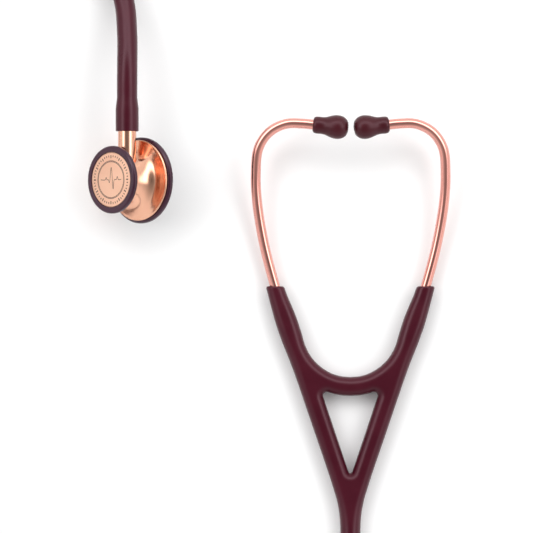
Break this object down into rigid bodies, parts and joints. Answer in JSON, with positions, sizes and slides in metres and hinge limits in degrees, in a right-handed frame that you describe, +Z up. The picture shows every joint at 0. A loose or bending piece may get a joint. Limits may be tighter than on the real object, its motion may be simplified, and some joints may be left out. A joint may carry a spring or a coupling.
{
  "type": "stethoscope",
  "caption": "Dual-head acoustic stethoscope with a swivelling chestpiece, a flexible tube, a Y-shaped yoke and sprung ear tubes with soft eartips.",
  "frame": {"origin": "centre of the base of the box of the headset and chestpiece, on the table they lie on", "axes": "+Z up from the table, +Y from the yoke's tail towards the eartips, +X towards the right ear tube as seen from above"},
  "size_m": [0.2683, 0.3989, 0.0452],
  "materials": {
    "burgundy_tube": "soft satin burgundy PVC",
    "ear_tube_metal": "polished rose gold",
    "stem_metal": "polished rose gold",
    "chest_copper": "polished copper plating",
    "brushed_copper": "satin brushed copper with dark engraving",
    "plum_rim": "smooth dark plum",
    "maroon_silicone": "glossy dark maroon silicone",
    "dark_diaphragm": "smooth epoxy film",
    "seal_rubber": "matt black",
    "spring_steel": "bright spring steel"
  },
  "bodies": {
    "headset_and_tube": {"yoke": "burgundy_tube", "headset_spring": "spring_steel", "main_tube": "burgundy_tube", "tube_cuff": "burgundy_tube", "stem": "stem_metal", "stem_o_ring": "seal_rubber", "detent_ball": "spring_steel", "detent_spring": "spring_steel"},
    "left_side": {"left_arm": "burgundy_tube", "left_ear_tube": "ear_tube_metal"},
    "right_side": {"right_arm": "burgundy_tube", "right_ear_tube": "ear_tube_metal"},
    "left_tip": {"left_eartip": "maroon_silicone"},
    "right_tip": {"right_eartip": "maroon_silicone"},
    "chestpiece": {"chest_body": "chest_copper", "large_rim": "plum_rim", "small_rim": "plum_rim", "retaining_ring": "spring_steel"},
    "large_membrane": {"large_diaphragm": "dark_diaphragm"},
    "small_membrane": {"small_diaphragm": "brushed_copper"}
  },
  "joints": [
    {"name": "left_spread", "type": "hinge", "parent": "headset_and_tube", "child": "left_side", "pos_m": [0.0198, -0.02455, 0.0055], "axis": [0, 0, 1], "range_deg": [0, 20], "stiffness_Nm_per_rad": 0.9},
    {"name": "right_spread", "type": "hinge", "parent": "headset_and_tube", "child": "right_side", "pos_m": [0.0682, -0.02455, 0.0055], "axis": [0, 0, -1], "range_deg": [0, 20], "stiffness_Nm_per_rad": 0.9},
    {"name": "left_eartip_turn", "type": "hinge", "parent": "left_side", "child": "left_tip", "pos_m": [0.0236, 0.10775, 0.0205], "axis": [0.9913, -0.1032, 0.0815], "continuous": true},
    {"name": "right_eartip_turn", "type": "hinge", "parent": "right_side", "child": "right_tip", "pos_m": [0.0644, 0.10775, 0.0205], "axis": [-0.9913, -0.1032, 0.0815], "continuous": true},
    {"name": "chest_swivel", "type": "hinge", "parent": "headset_and_tube", "child": "chestpiece", "pos_m": [-0.0766, 0.07775, 0.0242], "axis": [0, 1, 0], "continuous": true},
    {"name": "large_diaphragm_float", "type": "slide", "parent": "chestpiece", "child": "large_membrane", "axis": [-0.682, 0, 0.7314], "range_m": [0, 0.0004], "stiffness_N_per_m": 20000},
    {"name": "small_diaphragm_float", "type": "slide", "parent": "chestpiece", "child": "small_membrane", "axis": [0.682, 0, -0.7314], "range_m": [0, 0.0004], "stiffness_N_per_m": 20000}
  ]
}
